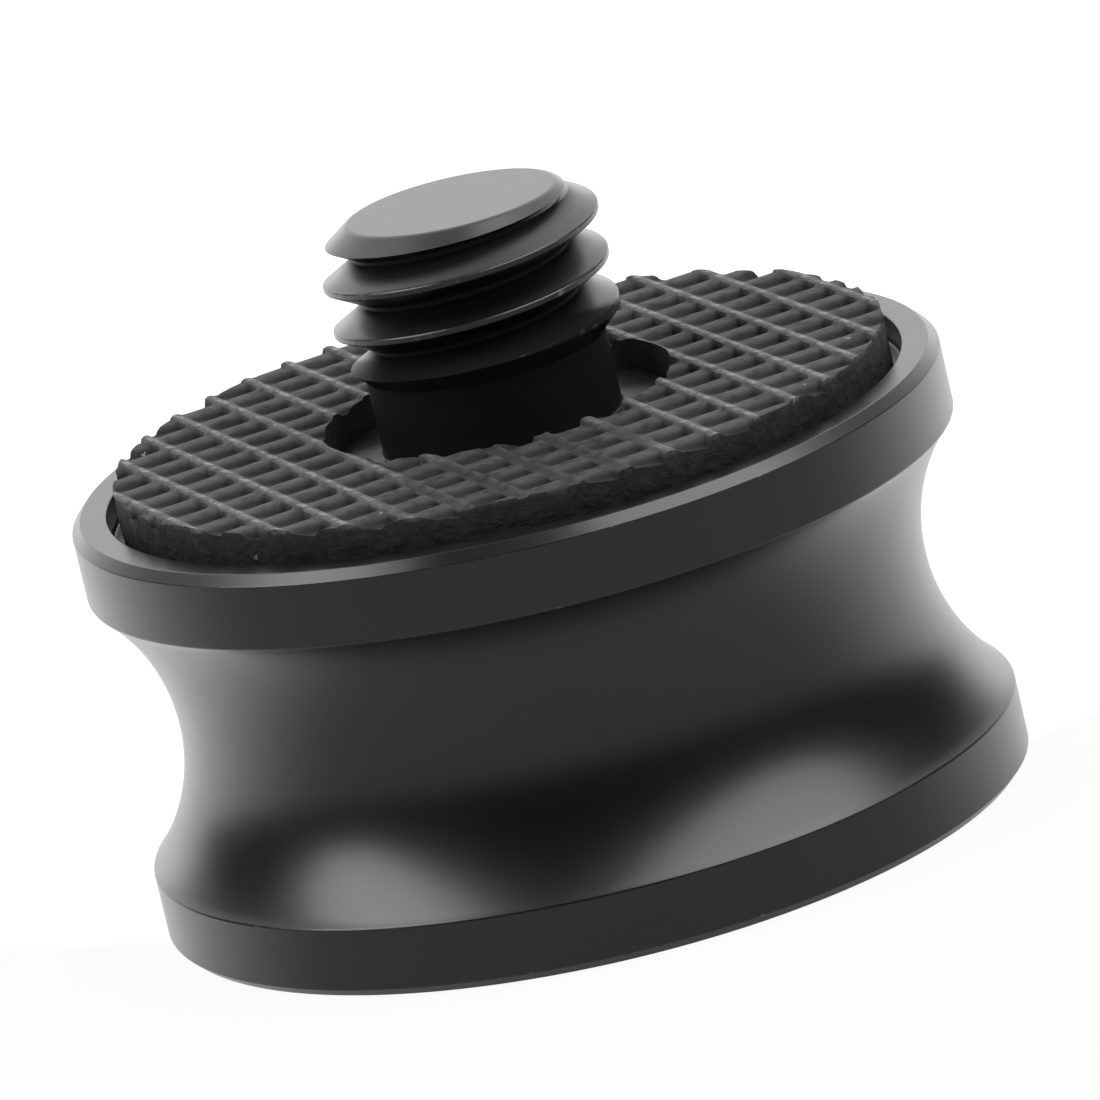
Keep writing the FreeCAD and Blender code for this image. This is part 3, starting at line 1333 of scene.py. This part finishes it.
    def build(self, material: bpy.types.Material) -> bpy.types.Object:
        """Repeats the cell into a sheet and cuts the ring.

        Args:
            material: the pad's finish.

        Returns:
            The finished piece.
        """
        piece = self.cell()
        die = self.die()
        origin = self.on_sheet(0.0, 0.0, 0.0)
        half_columns = math.ceil((self.rim_radius + abs(self.rail_offset)) / self.rail_pitch)
        half_rows = math.ceil((self.rim_radius + abs(self.rung_offset)) / self.rung_pitch)
        sizes = {
            "Columns": 2 * half_columns,
            "Rows": 2 * half_rows,
            "Column Step": (self.on_sheet(self.rail_pitch, 0.0, 0.0) - origin) * MM,
            "Row Step": (self.on_sheet(0.0, self.rung_pitch, 0.0) - origin) * MM,
            "Underside": (self.floor - self.overcut) * MM,
            "Weld": self.weld * MM,
            "Ripple": self.ripple * MM,
            "Ripple Scale": self.ripple_scale,
            "Seed": self.seed,
            "Torn Middle": Vector(self.torn_middle) * MM,
            "Torn Reach": self.torn_reach * MM,
            "Torn Core": self.torn_core,
            "Die": die,
            "Material": material,
        }
        grow(piece, waffle_tree(), sizes)
        bpy.data.objects.remove(die)
        shade(piece, Shading.MOULDED)
        return piece

    def dress(self, effects: Effects) -> bpy.types.Material:
        """Makes the pad's finish."""
        return BlackRubber().material(effects, self)


@dataclass(frozen=True)
class Softbox:
    """Oval soft lamp, placed by its direction from the part, with angles in degrees."""

    name: str
    azimuth: float
    elevation: float
    half_width: float
    half_height: float
    radiance: float
    distance: float = 0.6

    def build(self, target: Vector) -> None:
        """Hangs the lamp and points it at the part.

        Args:
            target: the point that it faces, in metres.
        """
        turn, lift = math.radians(self.azimuth), math.radians(self.elevation)
        way = Vector((math.sin(turn) * math.cos(lift), -math.cos(turn) * math.cos(lift), math.sin(lift)))
        angles = (self.half_width, self.half_height)
        halves = [self.distance * math.tan(math.radians(angle)) for angle in angles]
        lamp = bpy.data.lights.new(self.name, "AREA")
        lamp.shape = "ELLIPSE"
        lamp.size, lamp.size_y = (2 * half for half in halves)
        lamp.energy = self.radiance * math.pi * math.pi * halves[0] * halves[1]
        holder = bpy.data.objects.new(self.name, lamp)
        holder.location = target + way * self.distance
        holder.rotation_mode = "QUATERNION"
        holder.rotation_quaternion = (-way).to_track_quat("-Z", "Y")
        holder.visible_camera = False
        bpy.context.scene.collection.objects.link(holder)


@dataclass(frozen=True)
class Studio:
    """White floor, two softboxes and a white sweep that rises behind the part and over it."""

    floor_half: float = 3.0
    floor_drop: float = 2e-5
    floor_colour: Colour = (0.8, 0.8, 0.8, 1.0)
    floor_share: float = 0.94
    floor_middle: Place = (0.0, 0.01, 0.0)
    floor_turn: Range = (-0.2, 0.85)
    front_floor_shade: float = 0.33
    back_floor_glow: float = 1.2
    ambient: float = 0.03
    overhead: float = 0.1
    overhead_rise: Range = (0.75, 1.0)
    sweep: float = 1.05
    sweep_top: float = 0.65
    sweep_top_rise: Range = (0.8, 0.97)
    sweep_foot: float = 0.5
    sweep_foot_rise: Range = (0.22, 0.1)
    sweep_half: float = 0.48
    sweep_fade: float = 0.30
    sweep_turn: Range = (-0.15, 0.15)
    target: Place = (0.0, 0.0, 0.011)
    lamps: tuple[Softbox, ...] = (
        Softbox("left_softbox", -77.0, 42.0, 17.0, 25.0, 3.1),
        Softbox("right_softbox", 63.0, 54.0, 25.0, 29.0, 2.4),
    )

    def floor(self) -> None:
        """Lays the white floor, whose glow turned metal sees as a painted reflection, darker in front as
        painted shade and brighter than white behind.
        """
        half = self.floor_half * PER_MM
        level = -self.floor_drop * PER_MM
        corners = [(-half, -half, level), (half, -half, level), (half, half, level), (-half, half, level)]
        floor = new_piece("studio_floor", corners, [(0, 1, 2, 3)])
        material = bpy.data.materials.new("white_floor")
        material.use_nodes = True
        wiring = Wiring(material.node_tree)
        path = wiring.add("ShaderNodeLightPath").outputs
        glossy = wiring.math("MAXIMUM", path["Is Glossy Ray"], path["Is Transmission Ray"])
        share = wiring.product(wiring.math("MAXIMUM", path["Is Camera Ray"], glossy), self.floor_share)
        place = wiring.add("ShaderNodeTexCoord").outputs["Object"]
        way = wiring.vector_math("NORMALIZE", wiring.vector_math("ADD", place, self.floor_middle))
        back = wiring.ramp(wiring.axes(way)["Y"], *self.floor_turn)
        # Painted reflection: to glossy rays the floor glows, dim in front as painted shade and brighter than
        # white behind.
        lit = wiring.between(back, self.front_floor_shade, self.back_floor_glow)
        strength = wiring.math("MAXIMUM", path["Is Camera Ray"], lit)
        matt = wiring.add("ShaderNodeBsdfDiffuse", {"Color": self.floor_colour})
        white = wiring.add("ShaderNodeEmission", {"Strength": strength})
        mixed = wiring.add("ShaderNodeMixShader", {0: share, 1: matt.outputs[0], 2: white.outputs[0]})
        wiring.add("ShaderNodeOutputMaterial", {"Surface": mixed.outputs[0]})
        floor.data.materials.append(material)

    def world(self) -> None:
        """Makes the surroundings white to the camera, and lit to the part only where the sweep is."""
        world = bpy.data.worlds.new("white_surroundings")
        world.use_nodes = True
        wiring = Wiring(world.node_tree)
        path = wiring.add("ShaderNodeLightPath").outputs
        way = wiring.axes(wiring.add("ShaderNodeTexCoord").outputs["Generated"])
        aside = wiring.math("ABSOLUTE", way["X"])
        strip = wiring.ramp(aside, self.sweep_half + self.sweep_fade, self.sweep_half)
        behind = wiring.ramp(way["Y"], *self.sweep_turn)
        level = wiring.between(wiring.ramp(way["Z"], *self.sweep_top_rise), self.sweep, self.sweep_top)
        foot = wiring.ramp(way["Z"], *self.sweep_foot_rise)
        lit = wiring.product(strip, behind, wiring.math("MULTIPLY_ADD", foot, self.sweep_foot, level))
        top = wiring.product(wiring.ramp(way["Z"], *self.overhead_rise), self.overhead)
        dim = wiring.math("ADD", wiring.math("MAXIMUM", lit, top), self.ambient)
        strength = wiring.math("MAXIMUM", path["Is Camera Ray"], dim)
        sky = wiring.add("ShaderNodeBackground", {"Color": (1.0, 1.0, 1.0, 1.0), "Strength": strength})
        wiring.add("ShaderNodeOutputWorld", {"Surface": sky.outputs[0]})
        bpy.context.scene.world = world

    def build(self) -> None:
        """Sets up the floor, the lamps and the surroundings."""
        self.floor()
        self.world()
        for lamp in self.lamps:
            lamp.build(Vector(self.target))
        bpy.context.scene.view_settings.view_transform = "Standard"


@dataclass(frozen=True)
class PhotoCamera:
    """Long lens that looks down on the part, rolled as the picture is."""

    elevation: float = 15.092
    roll: float = 13.186
    frame_pixels: float = 1100.0
    focal_pixels: float = 12307.066
    sensor: float = 36.0
    part_from_eye: Place = (1.658, 9.634, 413.32)

    def build(self) -> None:
        """Places the camera from where the part's origin lies in its view."""
        lift, roll = math.radians(self.elevation), math.radians(self.roll)
        ahead = Vector((0.0, math.cos(lift), -math.sin(lift)))
        level_right = Vector((1.0, 0.0, 0.0))
        level_down = ahead.cross(level_right)
        right = level_right * math.cos(roll) + level_down * math.sin(roll)
        down = level_down * math.cos(roll) - level_right * math.sin(roll)
        offsets = zip((right, down, ahead), self.part_from_eye)
        eye = -sum((axis * distance for axis, distance in offsets), Vector()) * MM
        lens = bpy.data.cameras.new("photo_camera")
        lens.sensor_width = self.sensor
        lens.lens = self.focal_pixels / self.frame_pixels * self.sensor
        holder = bpy.data.objects.new("photo_camera", lens)
        axes = Matrix((right, -down, -ahead)).transposed()
        holder.matrix_world = Matrix.Translation(eye) @ axes.to_4x4()
        bpy.context.scene.collection.objects.link(holder)
        bpy.context.scene.camera = holder


def main() -> None:
    """Builds the dressed part and its studio."""
    logging.basicConfig(level=logging.INFO, format="%(message)s")
    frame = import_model()
    effects = Effects()
    for part in (TurnedBody.from_frame(frame["record"]), RubberPad.from_frame()):
        piece = part.build(part.dress(effects))
        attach(piece, ROOT_BODY)
        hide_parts(part.node)
        LOG.info("%s: %d faces for %s", piece.name, len(piece.data.polygons), part.node)
    Studio().build()
    PhotoCamera().build()


if __name__ == "__main__":
    main()
